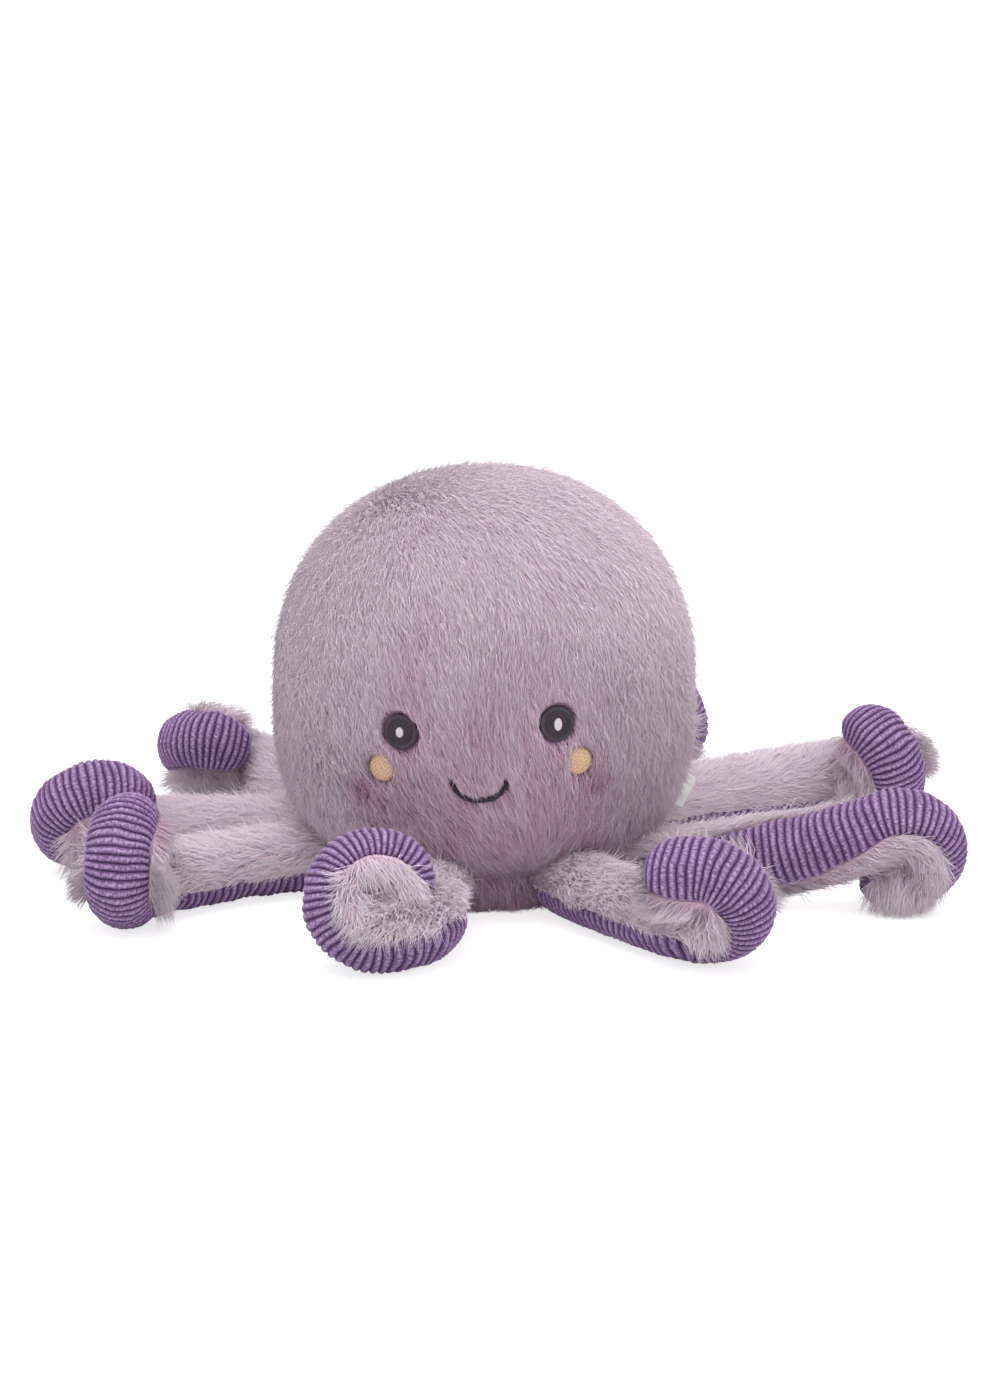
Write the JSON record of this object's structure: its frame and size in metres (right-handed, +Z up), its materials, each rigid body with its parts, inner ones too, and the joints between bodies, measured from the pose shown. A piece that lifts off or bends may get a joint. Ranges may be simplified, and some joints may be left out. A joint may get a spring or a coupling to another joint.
{
  "type": "plush octopus",
  "caption": "Stuffed octopus toy: a round plush head with an embroidered face on a flat base, and arms of plush above and corduroy below that curl over at their ends and lift at the root.",
  "frame": {"origin": "middle of the flat underside of the base panel, on the surface the toy sits on", "axes": "+Z up through the crown of the head; the face looks along -Y; +X is to the right of someone facing the toy"},
  "size_m": [0.3642, 0.2806, 0.162],
  "materials": {
    "head_plush": "long soft pile plush, dusty mauve",
    "arm_plush": "long soft pile plush, pale lilac",
    "corduroy": "wide wale corduroy, violet",
    "fibre_filling": "loose polyester fibre",
    "dark_thread": "satin embroidery thread, charcoal",
    "white_thread": "satin embroidery thread, white",
    "peach_thread": "satin embroidery thread, peach",
    "label_tape": "smooth woven tape, white"
  },
  "bodies": {
    "head": {"head_front_panel": "head_plush", "head_right_panel": "head_plush", "head_back_right_panel": "head_plush", "head_back_left_panel": "head_plush", "head_left_panel": "head_plush", "base_panel": "head_plush", "head_stuffing": "fibre_filling", "eye_left": "dark_thread", "eye_right": "dark_thread", "eye_glint_left": "white_thread", "eye_glint_right": "white_thread", "cheek_left": "peach_thread", "cheek_right": "peach_thread", "smile": "dark_thread", "care_label": "label_tape"},
    "arm_left": {"arm_left_plush": "arm_plush", "arm_left_corduroy": "corduroy", "arm_left_stuffing": "fibre_filling"},
    "arm_front_left": {"arm_front_left_plush": "arm_plush", "arm_front_left_corduroy": "corduroy", "arm_front_left_stuffing": "fibre_filling"},
    "arm_back_left": {"arm_back_left_plush": "arm_plush", "arm_back_left_corduroy": "corduroy", "arm_back_left_stuffing": "fibre_filling"},
    "arm_back": {"arm_back_plush": "arm_plush", "arm_back_corduroy": "corduroy", "arm_back_stuffing": "fibre_filling"},
    "arm_front": {"arm_front_plush": "arm_plush", "arm_front_corduroy": "corduroy", "arm_front_stuffing": "fibre_filling"},
    "arm_right": {"arm_right_plush": "arm_plush", "arm_right_corduroy": "corduroy", "arm_right_stuffing": "fibre_filling"},
    "arm_front_right": {"arm_front_right_plush": "arm_plush", "arm_front_right_corduroy": "corduroy", "arm_front_right_stuffing": "fibre_filling"},
    "arm_back_right": {"arm_back_right_plush": "arm_plush", "arm_back_right_corduroy": "corduroy", "arm_back_right_stuffing": "fibre_filling"}
  },
  "joints": [
    {"name": "arm_left_lift", "type": "hinge", "parent": "head", "child": "arm_left", "pos_m": [-0.05808, 0.01776, 0.0119], "axis": [0.2924, 0.9563, 0], "range_deg": [0, 30]},
    {"name": "arm_front_left_lift", "type": "hinge", "parent": "head", "child": "arm_front_left", "pos_m": [-0.05918, -0.01366, 0.0119], "axis": [-0.225, 0.9744, 0], "range_deg": [0, 30]},
    {"name": "arm_back_left_lift", "type": "hinge", "parent": "head", "child": "arm_back_left", "pos_m": [-0.03822, 0.0472, 0.0119], "axis": [0.7771, 0.6293, 0], "range_deg": [0, 30]},
    {"name": "arm_back_lift", "type": "hinge", "parent": "head", "child": "arm_back", "pos_m": [0.01055, 0.05982, 0.0119], "axis": [0.9848, -0.1736, 0], "range_deg": [0, 30]},
    {"name": "arm_front_lift", "type": "hinge", "parent": "head", "child": "arm_front", "pos_m": [-0.01674, -0.05838, 0.0119], "axis": [-0.9613, 0.2756, 0], "range_deg": [0, 30]},
    {"name": "arm_right_lift", "type": "hinge", "parent": "head", "child": "arm_right", "pos_m": [0.05549, -0.0247, 0.0119], "axis": [-0.4067, -0.9135, 0], "range_deg": [0, 30]},
    {"name": "arm_front_right_lift", "type": "hinge", "parent": "head", "child": "arm_front_right", "pos_m": [0.03037, -0.0526, 0.0119], "axis": [-0.866, -0.5, 0], "range_deg": [0, 30]},
    {"name": "arm_back_right_lift", "type": "hinge", "parent": "head", "child": "arm_back_right", "pos_m": [0.04442, 0.04142, 0.0119], "axis": [0.682, -0.7314, 0], "range_deg": [0, 30]}
  ]
}
